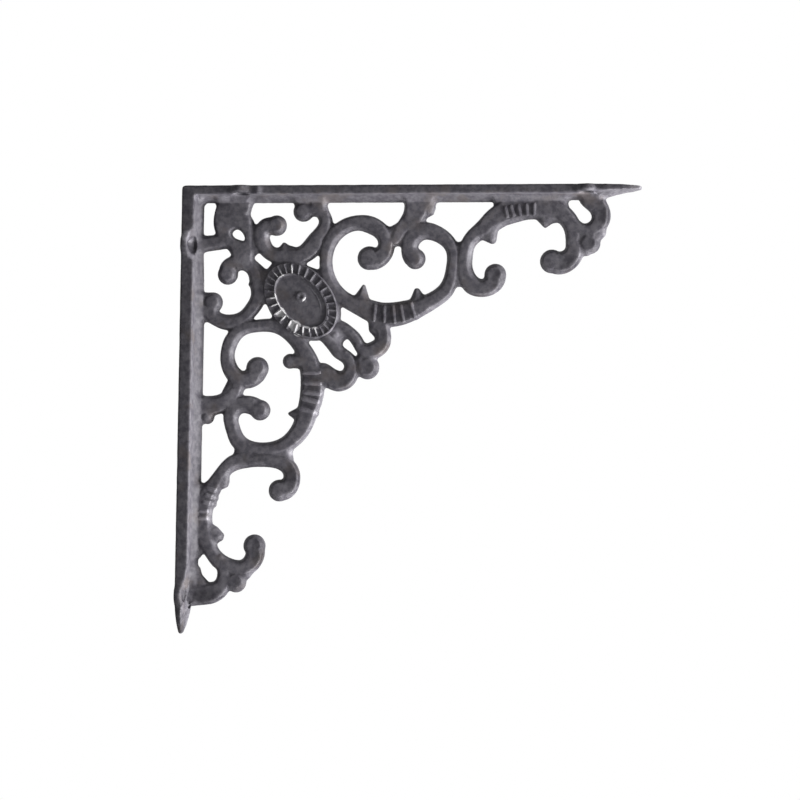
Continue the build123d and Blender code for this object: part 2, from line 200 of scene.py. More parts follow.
# Centre lines of the strands, one row of (x, drop, half width) stations each, in mm
STRANDS = (
    (
        (83.5, 32.4, 3.9), (87.4, 31, 4), (90.2, 26.8, 3.4), (89.3, 21.8, 3.2), (83.4, 17, 3.5),
        (77.8, 15.9, 3.1), (68.9, 19.3, 3), (63.8, 28, 2.6), (64.3, 39.4, 2.7), (67.3, 45.4, 3),
        (74.2, 50.9, 3.1), (80, 53.2, 3.9), (88.1, 56.2, 4.9), (97, 55.9, 4.9),
        (109.1, 51.5, 3.6), (117.6, 45.2, 3.2), (120.3, 35.9, 2.7), (119.3, 26.3, 2.7),
        (115.6, 22.4, 3), (109.9, 19.8, 3.4), (105.2, 20, 3.7), (100.8, 27.1, 3.4),
        (102.2, 31.2, 3.9),
    ),
    (
        (105.8, 3, 7.4), (104.2, 8, 5.9), (102, 13.9, 4.6), (98.2, 18.3, 3.6), (94.7, 23.6, 2.7),
    ),
    (
        (33.6, 80.8, 3.9), (31, 84.1, 3.8), (26.4, 84.9, 3.5), (20.7, 79.5, 3.1),
        (19.7, 73.3, 2.8), (21, 68.5, 2.9), (24.6, 63.8, 2.6), (33.4, 61.2, 2.4),
        (41.5, 61.5, 2.7), (47.9, 65.4, 2.7), (53.8, 72, 3.4), (57.3, 80.8, 4.5),
        (58.2, 89.6, 5), (56.5, 98.2, 4.4), (52.6, 107.9, 3.8), (45.5, 114.1, 3.1),
        (37, 115.6, 2.5), (30.7, 114.8, 2.5), (26.2, 113, 3.1), (22.5, 105.9, 2.9),
        (21.8, 101.5, 3.1), (25, 96.7, 3.3), (29.1, 96, 3.6), (34.9, 98.5, 3.2),
    ),
    (
        (3.5, 98, 5.5), (9.4, 96.9, 4.4), (17.9, 95.3, 3.8), (22.7, 91.4, 3.1), (25.5, 86, 2.7),
    ),
    (
        (48, 76.9, 2.7), (54, 77.2, 2.7),
    ),
    (
        (22.2, 3, 7.6), (21.9, 7.5, 7.5), (20.8, 12.5, 7.9), (22.1, 18, 8.5), (25, 26, 5.6),
        (26.6, 34, 4.4),
    ),
    (
        (19, 23.6, 3.1), (8.2, 25, 3.3), (3.5, 25.3, 3.8),
    ),
    (
        (40.8, 17, 3.2), (34.5, 19.2, 3.1), (34.6, 24, 3.1), (37.8, 28.9, 2.9), (45, 30.5, 3.6),
        (53, 29.7, 3.7), (56.9, 26.5, 4), (59.6, 22.4, 3.5), (62.9, 15.2, 2.7), (60.4, 9.8, 3.1),
        (59, 3, 4.4),
    ),
    (
        (19.2, 38.5, 3.2), (19.9, 35.3, 3.6), (23, 33.6, 3.2), (29, 35, 2.6), (32.7, 43, 3.1),
        (33.2, 48.2, 3.1), (30.2, 54, 2.9), (26.6, 57.5, 2.7), (20.8, 59.7, 3.1),
        (15.9, 58.8, 2.9), (10, 55.6, 3.1), (3.5, 54.6, 3.6),
    ),
    (
        (52.8, 10, 2.6), (60, 10.2, 2.6),
    ),
    (
        (12.4, 50.9, 2.6), (12.4, 57.5, 2.6),
    ),
    (
        (62.5, 64.6, 2.8), (67.7, 70.3, 2.7), (70.4, 73.3, 2.7), (74.3, 76.2, 2.7),
        (75.5, 80.8, 3.1), (73.7, 84.4, 3.8), (69.7, 85.7, 4.2), (66.1, 84.4, 4.2),
        (60.5, 83, 4),
    ),
    (
        (66, 61.2, 2.8), (75, 64.8, 2.3), (78, 68.2, 2.3), (80.2, 71.4, 2.6), (83, 72.4, 3.2),
        (86.5, 71.6, 3.6), (89.2, 68.9, 3.3), (89.5, 65, 3.1), (86.8, 59, 4),
    ),
    (
        (79.4, 76.6, 1.8), (82.8, 79.7, 3.4),
    ),
    (
        (139.9, 39.6, 3.8), (138.2, 42.9, 3.9), (134, 44.8, 3.6), (128.6, 43, 3.8),
        (125.8, 35.9, 2.9), (125.8, 30.6, 2.9), (127, 25.3, 2.9), (129.2, 22.2, 3.1),
        (133.6, 18.7, 3.6), (137.6, 15.2, 4.3), (141.9, 12.5, 4.9), (147.8, 10.2, 5.4),
        (152.5, 9.6, 4.9), (159.5, 9.6, 4.8), (167.7, 11.6, 3.9), (173.2, 17.8, 3.5),
        (174.2, 25, 3.3), (174.2, 29.3, 3.9), (171, 33, 4.5), (166.4, 33.8, 4.6),
    ),
    (
        (174.5, 17.5, 2.8), (182.3, 19.2, 3.2), (185.8, 15.6, 3.7), (185.8, 11.2, 3.9),
        (183, 6.8, 4.7), (182.2, 3, 4.9),
    ),
    (
        (182, 19, 2.8), (181.3, 25.3, 3),
    ),
    (
        (45, 134.2, 3.9), (48.4, 132.1, 3.8), (49.7, 128.4, 3.4), (48.3, 124, 3.2),
        (40.7, 120.9, 2.6), (33.1, 120.5, 2.7), (25.5, 121, 3.3), (21, 123.3, 3),
        (17.9, 127, 2.9), (14.8, 131.7, 3.3), (11.6, 138.1, 3.6), (10.4, 145, 3.4),
        (10.7, 149.1, 3.3), (12.1, 156.2, 3.5), (14.4, 161.2, 3), (17.7, 165, 3.2),
        (23.5, 167.6, 3.1), (29.8, 167.6, 3.5), (33.3, 163.7, 3.8), (33.5, 158.4, 3.6),
    ),
    (
        (18, 164.5, 2.8), (20, 172, 2.9), (18.7, 176.4, 3.6), (14.8, 178.8, 4.4),
        (8, 179.8, 4.4), (2.5, 180.2, 5),
    ),
    (
        (19.5, 173.5, 2.8), (25.4, 174.2, 3),
    ),
)

# Balls at the strands' ends: (x, drop, radius) in mm
BALLS = (
    (82.7, 31.5, 4.9), (103.4, 31.9, 4.2),
    (11.2, 101.6, 2.7), (33.3, 80, 4.7), (34.9, 98.5, 4.2), (48, 76.9, 3),
    (12.6, 50.9, 4.2), (19.2, 38.5, 4.2), (40.8, 17, 4.2), (52.8, 10.8, 4.2),
    (68.6, 65.6, 2.6), (82.8, 79.7, 4.9),
    (139.3, 39, 4.5), (164.5, 33.2, 4.9), (181.3, 25.3, 4.4),
    (25.4, 174.2, 4.3), (33.4, 158.2, 4.6), (44.2, 133.9, 4.5),
)

# Ovals of painted light and shade on the -Y side, lighter where the share is positive and darker
# where it is negative:
# (x, drop, reach along x, reach along z, share) in mm
LIGHT_AND_SHADE_OVALS = (
    (68.6, 65.6, 3.8, 3.8, 0.8), (21, 92.5, 6, 5, 0.35), (36, 24, 3, 5, 0.3),
    (20, 38, 4, 4, 0.25), (190, 13, 5, 9, -0.5), (185, 26, 4, 5, -0.4), (174, 35, 6, 5, -0.35),
    (143, 41, 5, 6, -0.45), (52, 128, 5, 8, -0.45), (37.5, 161, 5, 9, -0.55),
    (28.5, 175, 4, 5, -0.4), (15, 181, 9, 4, -0.3), (86, 81.5, 4, 5, -0.4), (92, 68, 4, 7, -0.35),
    (94, 56, 13, 5, -0.2), (58, 91, 5, 13, -0.2), (151, 11, 10, 5, -0.15), (75, 87, 7, 5, -0.25),
    (120, 45, 6, 8, -0.15), (2.5, 196, 6, 9, -0.45), (16.5, 139, 4, 13, -0.3),
    (10, 168, 6, 14, -0.15), (10.5, 181, 7, 7, -0.15), (33, 122, 8, 5, -0.15),
    (96, 60, 12, 3, -0.2), (45, 180, 6, 6, -0.3), (8.5, 5, 5, 2.6, 0.35), (28, 33, 6, 4, 0.4),
    (17.8, 18.2, 4, 2.5, 0.4), (95, 20.8, 6, 7, 0.35), (100, 9, 7, 6, 0.25),
    (123, 39.5, 3, 6, 0.35), (47, 117.5, 7, 1.6, 0.35), (53, 119, 4, 5, -0.3),
    (23, 124, 4, 5, 0.15), (12, 8, 9, 3, -0.2), (29, 85, 5, 4, 0.2),
)

# The same on the plates' front edges and the ears: painted shade where darker, and where lighter
# painted highlights and glints together with patches of bare iron
EDGE_SHADE_HIGHLIGHTS_AND_WEAR = (
    (31, 2, 3.2, 5, -0.3), (184, 2, 5, 5, -0.35), (197, 1, 11, 5, -0.5), (35.4, 2, 1.5, 5, 1.1),
    (185, 2.6, 4, 0.9, 0.8), (2.4, 22.6, 2.2, 2.4, 1.5), (2, 192, 5, 10, -0.45),
)

# Painted light and shade of whole parts: painted shade on the front edges, painted light on the
# shelf's rail fading towards its tip, the wall's rail darker towards its lower end, painted shade
# in the troughs between ridges, a painted highlight on the ridges, painted light on the insides of
# bends
EDGE_PAINTED_SHADE = -0.14
WALL_EDGE_PAINTED_SHADE = -0.27
SHELF_RAIL_PAINTED_LIGHT = 0.42
SHELF_RAIL_FADE = 0.26
WALL_END_DARK = -0.14
WALL_END_RUN = 40.0 * MM
TROUGH_PAINTED_SHADE = -0.2
TROUGH_LONG = 1.2
TROUGH_HALF = 1.5
RIB_PAINTED_HIGHLIGHT = 0.45
RIB_HIGHLIGHT_RUN = 10.0 * MM
INWARD_PAINTED_LIGHT = 0.28
TINT_BEND = 0.7

# A front edge is this far out, or this deep in a plate and turned this much to the front. The
# web starts this far over the plates, and the ovals above reach this far through it.
PLATE_EDGE = 9.9 * MM
PLATE_INSIDE = 0.2 * MM
EDGE_FACING = 0.5
WEB_START = 3.0 * MM
TINT_REACH = 0.85 * HALF_WEB

# Gloss of the finish, which the painted light and shade also scale, and the least factor that
# painted shade may bring the colour to
SHINE = 0.22
LEAST_TONE = 0.25

# Ribs across the thick scrolls: half length, then (x, drop, lean in degrees), in mm
RIB_GROUPS = (
    (4.3, (
        (86, 55.6, 4), (90.3, 56.2, -1), (94.6, 56.5, -7), (98.3, 56.1, -11), (103, 54.4, -17),
    )),
    (4.3, (
        (58.2, 82.2, 90), (58.7, 86.9, 94), (58.5, 91.2, 98), (58, 94.4, 103), (56.8, 99.1, 106),
    )),
    (2.9, (
        (144.2, 11.6, -14), (146.9, 11.2, -18), (150, 10.9, -12), (153.4, 10.6, -5),
        (156.7, 10.4, 0),
    )),
    (2.5, (
        (14.3, 133.7, 106), (13.5, 136.7, 107), (12.6, 139.6, 101), (10.7, 143.2, 92),
        (10.5, 146.3, 90),
    )),
)

# Each ridge: steps along and across it, half width, height, fall to its sides, sink and root
RIB_STEPS = (26, 10)
RIB_WIDTH = 1.1 * MM
RIB_PROUD = 0.5 * MM
RIB_BEND = 1.5
RIB_SINK = 0.08 * MM
RIB_ROOT = 1.2 * MM


def smooth_step(value):
    """0 below 0, 1 above 1, and an even turn between them."""
    t = min(max(value, 0.0), 1.0)
    return t * t * (3 - 2 * t)


def mesh_piece(name, verts, faces):
    """New object from points and faces, shaded smooth."""
    mesh = bpy.data.meshes.new(name)
    mesh.from_pydata([tuple(v) for v in verts], [], faces)
    mesh.update()
    mesh.polygons.foreach_set("use_smooth", [True] * len(mesh.polygons))
    piece = bpy.data.objects.new(name, mesh)
    bpy.context.scene.collection.objects.link(piece)
    return piece


def face_outward(piece):
    """Turns the faces of a closed piece outwards."""
    shape = bmesh.new()
    shape.from_mesh(piece.data)
    bmesh.ops.recalc_face_normals(shape, faces=shape.faces)
    shape.to_mesh(piece.data)
    shape.free()


def add_modifier(piece, kind, **settings):
    """Applies a modifier straight away."""
    modifier = piece.modifiers.new(kind.lower(), kind)
    for key, value in settings.items():
        setattr(modifier, key, value)
    bpy.context.view_layer.objects.active = piece
    bpy.ops.object.modifier_apply(modifier=modifier.name)


def even_mesh(piece):
    """Gives a piece an even mesh, fine enough for the relief."""
    add_modifier(
        piece, "REMESH", mode="VOXEL", voxel_size=VOXEL, adaptivity=0.0, use_smooth_shade=True,
    )


def filleted_copy(node):
    """The CAD node as a new object with an even mesh, and a fillet in every inner corner."""
    shape = bmesh.new()
    shape.from_mesh(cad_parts[node].data)
    bmesh.ops.remove_doubles(shape, verts=shape.verts, dist=WELD)
    mesh = bpy.data.meshes.new("casting")
    shape.to_mesh(mesh)
    shape.free()
    piece = bpy.data.objects.new("casting", mesh)
    bpy.context.scene.collection.objects.link(piece)
    even_mesh(piece)
    for growth in (FILLET, -FILLET):
        add_modifier(piece, "DISPLACE", strength=growth, mid_level=0.0)
        even_mesh(piece)
    return piece


def web_outline(piece):
    """Points along the casting's outline at the mid-plane, ready for nearest searches.

    The mounting faces are left out, because nothing is rounded there.
    """
    shape = bmesh.new()
    shape.from_mesh(piece.data)
    geometry = shape.verts[:] + shape.edges[:] + shape.faces[:]
    bmesh.ops.bisect_plane(
        shape, geom=geometry, plane_co=(0, OUTLINE_CUT, 0), plane_no=(0, 1, 0),
        clear_inner=True, clear_outer=True,
    )
    points = []
    for edge in shape.edges:
        start, end = (vert.co for vert in edge.verts)
        if max(start.x, end.x) < OUTLINE_MARGIN or min(start.z, end.z) > -OUTLINE_MARGIN:
            continue
        count = max(1, round((end - start).length / OUTLINE_STEP))
        points += [start.lerp(end, (n + 0.5) / count) for n in range(count)]
    shape.free()
    tree = kdtree.KDTree(len(points))
    for index, point in enumerate(points):
        tree.insert((point.x, 0, point.z), index)
    tree.balance()
    return tree


def curve_through(stations):
    """Places along a smooth line through a strand's stations: (x, z, half width) in metres."""
    points = [Vector((x * MM, -drop * MM, half * MM)) for x, drop, half in stations]
    points = [2 * points[0] - points[1]] + points + [2 * points[-1] - points[-2]]
    places = []
    for before, start, end, after in zip(points, points[1:], points[2:], points[3:]):
        lead, run, tail = ((b - a).length for a, b in ((before, start), (start, end), (end, after)))
        leave = (start - before) / lead - (end - before) / (lead + run) + (end - start) / run
        arrive = (end - start) / run - (after - start) / (run + tail) + (after - end) / tail
        steps = max(1, round(run / STRAND_STEP))
        for n in range(steps):
            t = n / steps
            u = 1 - t
            places.append(
                start * (u * u * (1 + 2 * t)) + leave * (run * t * u * u)
                + end * (t * t * (3 - 2 * t)) - arrive * (run * t * t * u)
            )
    places.append(points[-2])
    return places


def bevel_share(away, half, bevel):
    """Share of the full height at a distance from the middle: a crowned flat between bevels."""
    if away >= half:
        return 0.0
    rise = min((half - away) / bevel, 1.0)
    crown = sqrt(1 - (away / half) ** 2)
    return (1 - CROWN_SHARE) * (1 - (1 - rise) ** BEVEL_BEND) + CROWN_SHARE * crown


class Strand:
    """One strand's centre line, ready for nearest searches."""

    def __init__(self, places):
        self.places = places
        self.bends = []
        for index in range(len(places)):
            before = places[max(index - BEND_SPAN, 0)]
            after = places[min(index + BEND_SPAN, len(places) - 1)]
            here = places[index]
            first, second = (here - before).xy, (after - here).xy
            run = max(first.length * second.length * (first.length + second.length) / 2, TINY)
            turn = (first.x * second.y - first.y * second.x) / run
            across = Vector((-(first.y + second.y), first.x + second.x))
            if across.length > 0:
                across.normalize()
            self.bends.append(across * max(-1.0, min(1.0, turn * BEND_RADIUS)))
        widest = max(place.z for place in places)
        self.left = min(place.x for place in places) - widest
        self.right = max(place.x for place in places) + widest
        self.bottom = min(place.y for place in places) - widest
        self.top = max(place.y for place in places) + widest
        self.tree = kdtree.KDTree(len(places))
        for index, place in enumerate(places):
            self.tree.insert((place.x, 0, place.y), index)
        self.tree.balance()

    def crest(self, x, z):
        """Share of the full height at a place, and how far it faces into the strand's bend.

        The share is 1 on the flat and 0 at the edges. The bevel is wide on the inside of a
        bend and narrow on its outside.
        """
        if not (self.left < x < self.right and self.bottom < z < self.top):
            return 0.0, 0.0
        _, index, away = self.tree.find((x, 0, z))
        place = self.places[index]
        if away >= place.z:
            return 0.0, 0.0
        inward = 0.0
        if away > 0:
            bend = self.bends[index]
            inward = (bend.x * (x - place.x) + bend.y * (z - place.y)) / away
        bend_side = smooth_step((inward + BEND_LIMIT) / (2 * BEND_LIMIT))
        bevel = BEVEL_OUTER + (BEVEL_INNER - BEVEL_OUTER) * bend_side
        flat = smooth_step((place.z - away) / bevel)
        return bevel_share(away, place.z, bevel), inward * (1 - flat)


def clear_of_balls(place):
    """Whether a place of a centre line is outside every ball, but for a small overlap."""
    for x, drop, radius in BALLS:
        if hypot(place.x - x * MM, place.y + drop * MM) < radius * MM - BALL_OVERLAP:
            return False
    return True


def edge_share(depth, radius):
    """Share of the full height at a depth inside an edge that is rounded to a radius."""
    inward = min(depth / radius, 1.0)
    return sqrt(1 - (1 - inward) ** 2)


def along_line(stations, along):
    """Height on a broken line through (along, height) stations, in metres."""
    for (start, low_end), (end, high_end) in zip(stations, stations[1:]):
        if along <= end * MM:
            share = (along / MM - start) / (end - start)
            return (low_end + (high_end - low_end) * share) * MM
    return stations[-1][1] * MM


class Arm:
    """Mounting plate with its rail: the plate's thickness and the rail's height along it."""

    def __init__(self, length, thick, thin, rail, screw_tip):
        self.length = length
        self.thick = thick
        self.thin = thin
        self.rail = rail
        self.screws = (SCREW_NEAR, length - screw_tip)

    def face(self, along):
        """Distance from the mounting plane to the plate's inner face."""
        taper = (along - self.length + TAPER_LENGTH) / TAPER_LENGTH
        return self.thick - (self.thick - self.thin) * min(max(taper, 0.0), 1.0)

    def rail_height(self, along):
        """Height of the rail's free edge over the plate's inner face."""
        return self.thick + along_line(self.rail, along) - self.face(along)

    def foot(self, along, side):
        """Half thickness of the rail where it stands on the plate."""
        wide = RAIL_FOOT
        if side < 0:
            away = min(abs(along - screw) for screw in self.screws)
            beside = smooth_step((away - EAR_START * SCOOP_RADIUS) / (EAR_RUN * SCOOP_RADIUS))
            wide = RAIL_FOOT_AT_EAR + (RAIL_FOOT - RAIL_FOOT_AT_EAR) * beside
        return HALF_WEB + (wide - HALF_WEB) * smooth_step(self.rail_height(along) / FOOT_RISE)

    def rail_side(self, along, over, depth, side):
        """Half thickness of the sloping rail over the plate's face, or 0 clear of the rail."""
        height = self.rail_height(along)
        if height <= 0 or over > height:
            return 0.0
        foot = self.foot(along, side)
        slope = EDGE_LAND + (foot - EDGE_LAND) * min(1.0, depth / height)
        return min(slope, foot - (foot - HALF_WEB) * max(over, 0.0) / height)


SHELF = Arm(SHELF_ARM, SHELF_PLATE, SHELF_PLATE_TIP, SHELF_RAIL, SHELF_SCREW_TIP)
WALL = Arm(WALL_ARM, WALL_PLATE, WALL_PLATE_TIP, WALL_RAIL, WALL_SCREW_TIP)


class Relief:
    """The rounded face of the scrollwork, as a height over the mid-plane."""

    def __init__(self, blank):
        self.outline = web_outline(blank)
        lines = [list(filter(clear_of_balls, curve_through(stations))) for stations in STRANDS]
        self.strands = [Strand(places) for places in lines if places]

    def height(self, x, z, side=-1):
        """Height of the face at a place, in metres."""
        _, _, depth = self.outline.find((x, 0, z))
        rail = max(
            SHELF.rail_side(x, -z - SHELF.face(x), depth, side),
            WALL.rail_side(-z, x - WALL.face(-z), depth, side),
        )
        if rail > 0:
            return rail
        share = FILL_SHARE * edge_share(depth, FILL_ROUND)
        share = max(share, max(strand.crest(x, z)[0] for strand in self.strands))
        for ball_x, drop, radius in BALLS:
            away = hypot(x - ball_x * MM, z + drop * MM)
            share = max(share, BALL_SHARE * bevel_share(away, radius * MM, BEVEL_BALL))
        share = min(share, BALL_SHARE * edge_share(depth, EDGE_ROUND))
        return EDGE_LAND + (HALF_WEB - EDGE_LAND) * share

    def inward(self, x, z):
        """How far the face at a place turns into the bend of its strand, from -1 to 1."""
        return max(strand.crest(x, z) for strand in self.strands)[1]


def spread_foot(point, over, foot):
    """Moves a point of a plate's inner face aside, to make room for its rail's wide foot."""
    aside = abs(point.y)
    if aside >= FOOT_SPREAD:
        return
    if aside <= HALF_WEB:
        wide = aside * foot / HALF_WEB
    else:
        wide = foot + (aside - HALF_WEB) * (FOOT_SPREAD - foot) / (FOOT_SPREAD - HALF_WEB)
    near_face = smooth_step(1 + over / FOOT_DEPTH)
    wide = aside + (wide - aside) * near_face
    point.y = wide if point.y > 0 else -wide


def medal_polar(x, z):
    """Place in the medallion's own axes: along its long axis and along its short axis."""
    dx = x - MEDAL_CENTRE.x
    dz = z - MEDAL_CENTRE.z
    long = dx * cos(MEDAL_LEAN) - dz * sin(MEDAL_LEAN)
    short = dx * sin(MEDAL_LEAN) + dz * cos(MEDAL_LEAN)
    return long, short


def round_outer_corner(point):
    """Keeps a point of the outer corner inside its radius."""
    if point.x < CORNER_ROUND and point.z > -CORNER_ROUND:
        away = Vector((point.x - CORNER_ROUND, point.z + CORNER_ROUND))
        if away.length > CORNER_ROUND:
            away *= CORNER_ROUND / away.length
            point.x = CORNER_ROUND + away.x
            point.z = away.y - CORNER_ROUND


def cast_skin(piece):
    """Grain and slow swells of a sand-cast surface, in the mesh itself."""
    mesh = piece.data
    normals = [vert.normal.copy() for vert in mesh.vertices]
    for vert, normal in zip(mesh.vertices, normals):
        grain = noise.noise(vert.co / GRAIN_SIZE) * SKIN_GRAIN
        swell = noise.noise(vert.co / SWELL_SIZE) * SKIN_SWELL
        vert.co -= normal * (abs(grain) + abs(swell))


def make_casting(casting, relief):
    """Carves the even mesh: rounded strands, sloping rails, soft corners and a cast skin."""
    normals = [vert.normal.copy() for vert in casting.data.vertices]
    for vert, normal in zip(casting.data.vertices, normals):
        point = vert.co
        side = 1 if point.y > 0 else -1
        over_shelf = -point.z - SHELF.face(point.x)
        over_wall = point.x - WALL.face(-point.z)
        over = min(over_shelf, over_wall)
        if over > 0 and (over > FACE_NOISE or abs(point.y) <= HALF_WEB):
            long, short = medal_polar(point.x, point.z)
            level = abs(point.y) / HALF_WEB
            flat = min(level, 1.0) * relief.height(point.x, point.z, side)
            if hypot(long / MEDAL_LONG, short / MEDAL_SHORT) < SOCKET_REACH:
                flat = min(flat, MEDAL_SOCKET)
            shelf_rail = SHELF.rail_height(point.x)
            wall_rail = WALL.rail_height(-point.z)
            clear = min(over_shelf - shelf_rail, over_wall - wall_rail)
            push = SIDE_SWELL * max(0.0, 1 - level ** 2) * smooth_step(clear / SWELL_CLEAR)
            rail = shelf_rail if over_shelf < over_wall else wall_rail
            held = (1 - smooth_step(rail / HELD_RAIL)) * (1 - smooth_step(over / HELD_OVER))
            point.y = side * flat * (1 - held) + point.y * held
            point.x += normal.x * push
            point.z += normal.z * push
        elif over_shelf < over_wall:
            spread_foot(point, over_shelf, SHELF.foot(point.x, side))
        else:
            spread_foot(point, over_wall, WALL.foot(-point.z, side))
        round_outer_corner(point)
    add_modifier(casting, "SMOOTH", factor=0.5, iterations=2)
    cast_skin(casting)
    add_modifier(casting, "DECIMATE", ratio=CASTING_SHARE)


def medal_height(long, short, turn, share):
    """Height of the medallion's face over the mid-plane, in mm, at a place in its own axes.

    share is 1 at the field's edge, 2 at the outer rim and more on the sloping skirt beyond.
    """
    if share <= 1.0:
        dome = FIELD_EDGE + FIELD_DOME * (1 - share ** 2)
        bead = BEAD_HEIGHT * exp(-((share - BEAD_SHARE) / BEAD_WIDTH) ** 2)
        about = (turn - SCORE_TURN) / SCORE_SPAN
        score = SCORE_HEIGHT * exp(-((share - SCORE_SHARE) / SCORE_WIDTH) ** 2 - about ** 2)
        away = hypot(long / MM + KNOB_SHIFT, short / MM - KNOB_SHIFT)
        knob = 0.0
        if away < KNOB_RADIUS:
            dimple = DIMPLE_DEPTH * exp(-(away / DIMPLE_RADIUS) ** 2)
            knob = KNOB_HEIGHT * sqrt(1 - (away / KNOB_RADIUS) ** 4) - dimple
        return dome + bead + score + knob
    out = share - 1
    if out > 1:
        return SKIRT_TOP - SKIRT_DROP * ((out - 1) / MEDAL_SKIRT) ** SKIRT_BEND
    wave = abs(((turn * FLUTES / (2 * pi)) % 1) - 0.5) * 2
    ridge = (RIDGE_TOP - RIDGE_DROP * out - FLUTE_FLOOR) * exp(-((1 - wave) / RIDGE_WIDTH) ** 2)
    dx = long * cos(MEDAL_LEAN) + short * sin(MEDAL_LEAN)
    dz = short * cos(MEDAL_LEAN) - long * sin(MEDAL_LEAN)
    facing = (dx - FACING_DOWN * dz) / max(hypot(dx, dz), MM)
    bead = INNER_BEAD_LOW + INNER_BEAD_RISE * smooth_step(INNER_BEAD_FACING + facing)
    bead *= exp(-(out / INNER_BEAD_WIDTH) ** 2)
    rim = RIM_HEIGHT * smooth_step((out - RIM_START) / RIM_RUN) * smooth_step(RIM_FACING + facing)
    return FLUTE_FLOOR + max(ridge, bead, rim)


def medal_rings():
    """Rings of the medallion's face from the knob outwards: (long, short, share, shift).

    share is None where a ring isn't an oval of the field, and shift is how much of the knob's
    offset it has.
    """
    rings = [(r * MM, r * MM, None, 1.0) for r in KNOB_RINGS]
    last = KNOB_RINGS[-1] * MM
    for n in range(1, BLEND_STEPS + 1):
        t = n / BLEND_STEPS
        long_r = last + (BLEND_SHARE * FIELD_LONG - last) * t
        rings.append((long_r, last + (BLEND_SHARE * FIELD_SHORT - last) * t, None, 1 - t))
    rings += [(FIELD_LONG * s, FIELD_SHORT * s, s, 0.0) for s in FIELD_RINGS]
    for n in range(1, FLUTE_STEPS + SKIRT_STEPS + 1):
        out = n / FLUTE_STEPS
        if n > FLUTE_STEPS:
            out = 1 + MEDAL_SKIRT * (n - FLUTE_STEPS) / SKIRT_STEPS
        long_r = FIELD_LONG + (MEDAL_LONG - FIELD_LONG) * out
        rings.append((long_r, FIELD_SHORT + (MEDAL_SHORT - FIELD_SHORT) * out, 1 + out, 0.0))
    return rings


def make_medallion():
    """Oval boss with a domed field, a bead, narrow flutes and a dimpled knob, on both faces."""
    steps = FLUTES * STEPS_PER_FLUTE
    sizes = medal_rings()
    verts, faces = [], []
    rims = []
    centre = (-KNOB_SHIFT * MM, KNOB_SHIFT * MM)
    for side in (-1, 1):
        base = len(verts)
        share = hypot(centre[0] / FIELD_LONG, centre[1] / FIELD_SHORT)
        verts.append((centre[0], side * (medal_height(*centre, 0, share) * MM), centre[1]))
        for long_r, short_r, share, shift in sizes:
            for n in range(steps):
                turn = 2 * pi * n / steps
                long = long_r * cos(turn) + centre[0] * shift
                short = short_r * sin(turn) + centre[1] * shift
                oval = share if share is not None else hypot(long / FIELD_LONG, short / FIELD_SHORT)
                verts.append((long, side * medal_height(long, short, turn, oval) * MM, short))
        for n in range(steps):
            after = (n + 1) % steps
            first = (base, base + 1 + n, base + 1 + after)
            faces.append(first if side > 0 else first[::-1])
            for ring in range(len(sizes) - 1):
                a = base + 1 + ring * steps
                b = a + steps
                quad = (a + n, b + n, b + after, a + after)
                faces.append(quad if side > 0 else quad[::-1])
        rims.append(base + 1 + (len(sizes) - 1) * steps)
    for n in range(steps):
        after = (n + 1) % steps
        faces.append((rims[0] + n, rims[0] + after, rims[1] + after, rims[1] + n))
    turned = Matrix.Translation(MEDAL_CENTRE) @ Matrix.Rotation(MEDAL_LEAN, 4, "Y")
    piece = mesh_piece("medallion", [turned @ Vector(v) for v in verts], faces)
    face_outward(piece)
    return piece


def wear_at(point):
    """Share of the finish that is worn away at a point."""
    if point.y > 0:
        return 0.0
    worn = 0.0
    for x, drop, reach, share in WORN:
        away = hypot(point.x / MM - x, point.z / MM + drop) / reach
        if away < 1:
            worn = max(worn, share * (1 - away ** 4))
    return worn


def tint_at(point, table):
    """Painted lightening or darkening at a point, from a table of ovals of painted light and shade,
    which on the edges also holds patches of bare iron.
    """
    tint = 0.0
    for x, drop, reach_x, reach_z, share in table:
        away = hypot((point.x / MM - x) / reach_x, (point.z / MM + drop) / reach_z)
        if away < 1:
            tint += share * (1 - away ** 2) ** TINT_BEND
    return tint


def trough_shade_at(point):
    """Painted shade in the troughs between the ridges at a point."""
    tint = 0.0
    for half, places in RIB_GROUPS:
        for (x, drop, lean), (next_x, next_drop, next_lean) in zip(places, places[1:]):
            dx = point.x / MM - (x + next_x) / 2
            dz = point.z / MM + (drop + next_drop) / 2
            turn = radians((lean + next_lean) / 2)
            along = dx * sin(turn) + dz * cos(turn)
            across = dx * cos(turn) - dz * sin(turn)
            away = hypot(along / (TROUGH_LONG * half), across / TROUGH_HALF)
            if away < 1:
                tint += TROUGH_PAINTED_SHADE * (1 - away ** 2)
    return tint


